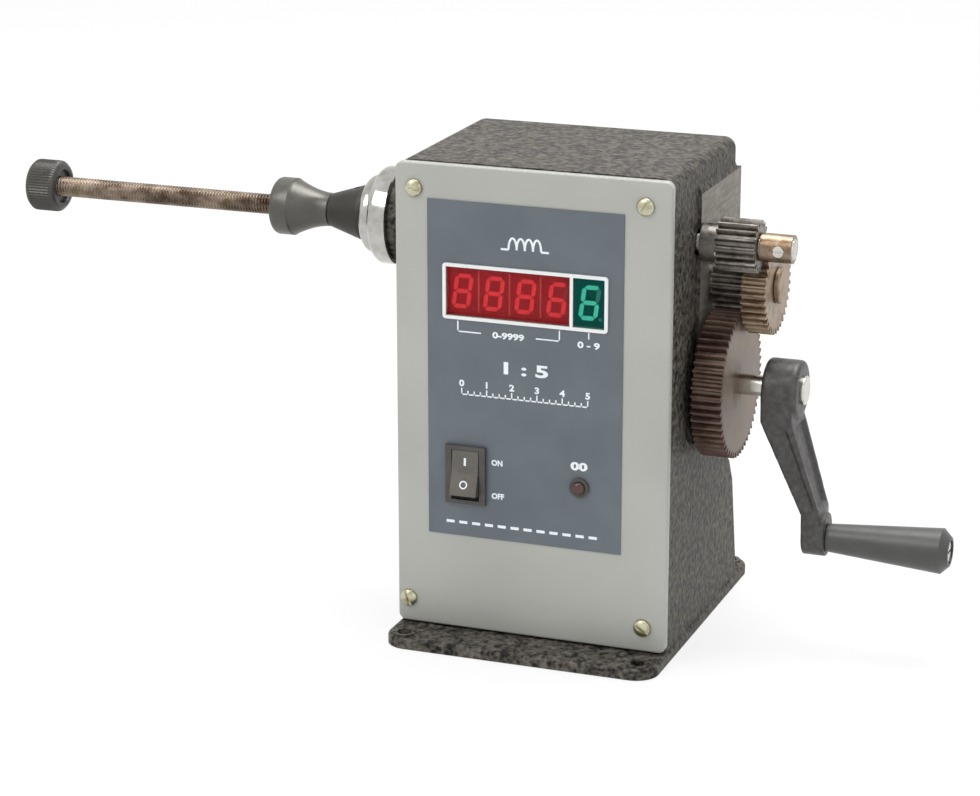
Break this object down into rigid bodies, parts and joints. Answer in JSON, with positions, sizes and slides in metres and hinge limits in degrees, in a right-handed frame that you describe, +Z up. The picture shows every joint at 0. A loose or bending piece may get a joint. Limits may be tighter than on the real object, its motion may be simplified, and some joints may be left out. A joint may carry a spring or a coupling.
{
  "type": "wire coil winding machine",
  "caption": "Bench-top hand-cranked coil winding machine: geared crank drives a threaded rod with clamping cones, over a cast box with turn-counter display, rocker switch and reset button.",
  "frame": {"origin": "centre of the four foot holes on the underside of the base", "axes": "+X along the spindle towards the gears and crank, -X towards the coil rod, -Y towards the front panel, +Z up"},
  "size_m": [0.377, 0.135, 0.187],
  "materials": {
    "hammertone": "hammertone",
    "panel_grey": "satin",
    "overlay_blue": "satin",
    "zinc_screw": "satin",
    "white_plastic": "gloss",
    "red_lens": "gloss",
    "green_lens": "gloss",
    "led_red": "gloss",
    "led_green": "gloss",
    "circuit_board": "satin",
    "black_component": "matte",
    "brass": "satin",
    "black_plastic": "satin",
    "cap_plastic": "gloss",
    "core_steel": "matte",
    "coil_tape": "satin",
    "bright_steel": "bright",
    "bearing_steel": "polished",
    "chrome": "polished",
    "black_oxide": "satin",
    "dark_gear_steel": "satin",
    "bronze": "satin",
    "aged_gear_steel": "matte",
    "black_cast": "painted",
    "grip_plastic": "satin"
  },
  "bodies": {
    "base": {"casting": "hammertone", "front_panel": "panel_grey", "overlay": "overlay_blue", "panel_screws": "zinc_screw", "display_bezel": "white_plastic", "red_window": "red_lens", "green_window": "green_lens", "red_digits": "led_red", "green_digit": "led_green", "display_board": "circuit_board", "board_components": "black_component", "power_board": "circuit_board", "power_components": "black_component", "standoffs": "brass", "board_screws": "zinc_screw", "switch_body": "black_plastic", "switch_terminals": "brass", "button_housing": "black_plastic", "button_nut": "zinc_screw", "transformer_core": "core_steel", "transformer_coil": "coil_tape", "transformer_bracket": "zinc_screw", "transformer_screws": "zinc_screw", "cable_gland": "black_plastic", "gland_nut": "black_plastic", "sensor_bracket": "bright_steel", "bracket_screws": "zinc_screw", "sensor": "black_component", "bearing_outer_rings": "bearing_steel", "bearing_balls": "bearing_steel", "bearing_cap": "chrome", "crank_bush": "bronze", "idler_stud": "bright_steel", "idler_nut": "zinc_screw", "idler_spacer": "bright_steel"},
    "rocker": {"switch_rocker": "black_plastic"},
    "button": {"button_cap": "cap_plastic"},
    "spindle": {"spindle": "bright_steel", "bearing_inner_rings": "bearing_steel", "inner_cone": "black_oxide", "spindle_grub_screws": "black_oxide", "spindle_pinion": "dark_gear_steel", "tail_collar": "brass", "collar_screw": "bright_steel", "encoder_disc": "black_plastic"},
    "outer_cone": {"outer_cone": "black_oxide"},
    "end_nut": {"end_nut": "black_oxide"},
    "idler": {"idler_gear": "bronze", "idler_pinion": "dark_gear_steel", "idler_bush": "bronze"},
    "crank": {"crank_shaft": "bright_steel", "drive_gear": "aged_gear_steel", "drive_key": "bright_steel", "crank_arm": "black_cast", "crank_screw": "bright_steel", "shaft_collar": "bright_steel", "shaft_collar_screw": "black_oxide", "grip_pin": "bright_steel"},
    "grip": {"grip": "grip_plastic"}
  },
  "joints": [
    {"name": "crank_spin", "type": "hinge", "parent": "base", "child": "crank", "pos_m": [0.06, -0.00474, 0.10029], "axis": [1, 0, 0], "continuous": true},
    {"name": "idler_spin", "type": "hinge", "parent": "base", "child": "idler", "pos_m": [0.07, 0.00509, 0.13751], "axis": [1, 0, 0], "continuous": true},
    {"name": "spindle_spin", "type": "hinge", "parent": "base", "child": "spindle", "pos_m": [0, -0.014, 0.1566], "axis": [1, 0, 0], "continuous": true},
    {"name": "grip_spin", "type": "hinge", "parent": "crank", "child": "grip", "pos_m": [0.127, -0.00474, 0.04299], "axis": [1, 0, 0], "continuous": true},
    {"name": "outer_cone_slide", "type": "slide", "parent": "spindle", "child": "outer_cone", "axis": [-1, 0, 0], "range_m": [0, 0.058]},
    {"name": "end_nut_slide", "type": "slide", "parent": "spindle", "child": "end_nut", "axis": [1, 0, 0], "range_m": [0, 0.0355]},
    {"name": "switch_tilt", "type": "hinge", "parent": "base", "child": "rocker", "pos_m": [-0.0256, -0.048, 0.0674], "axis": [1, 0, 0], "range_deg": [0, 24]},
    {"name": "button_press", "type": "slide", "parent": "base", "child": "button", "axis": [0, 1, 0], "range_m": [0, 0.0012], "stiffness_N_per_m": 800, "springref_m": -0.0002}
  ],
  "couplings": [
    {"joint": "idler_spin", "follows": "crank_spin", "ratio": -2.5},
    {"joint": "spindle_spin", "follows": "crank_spin", "ratio": 5}
  ]
}
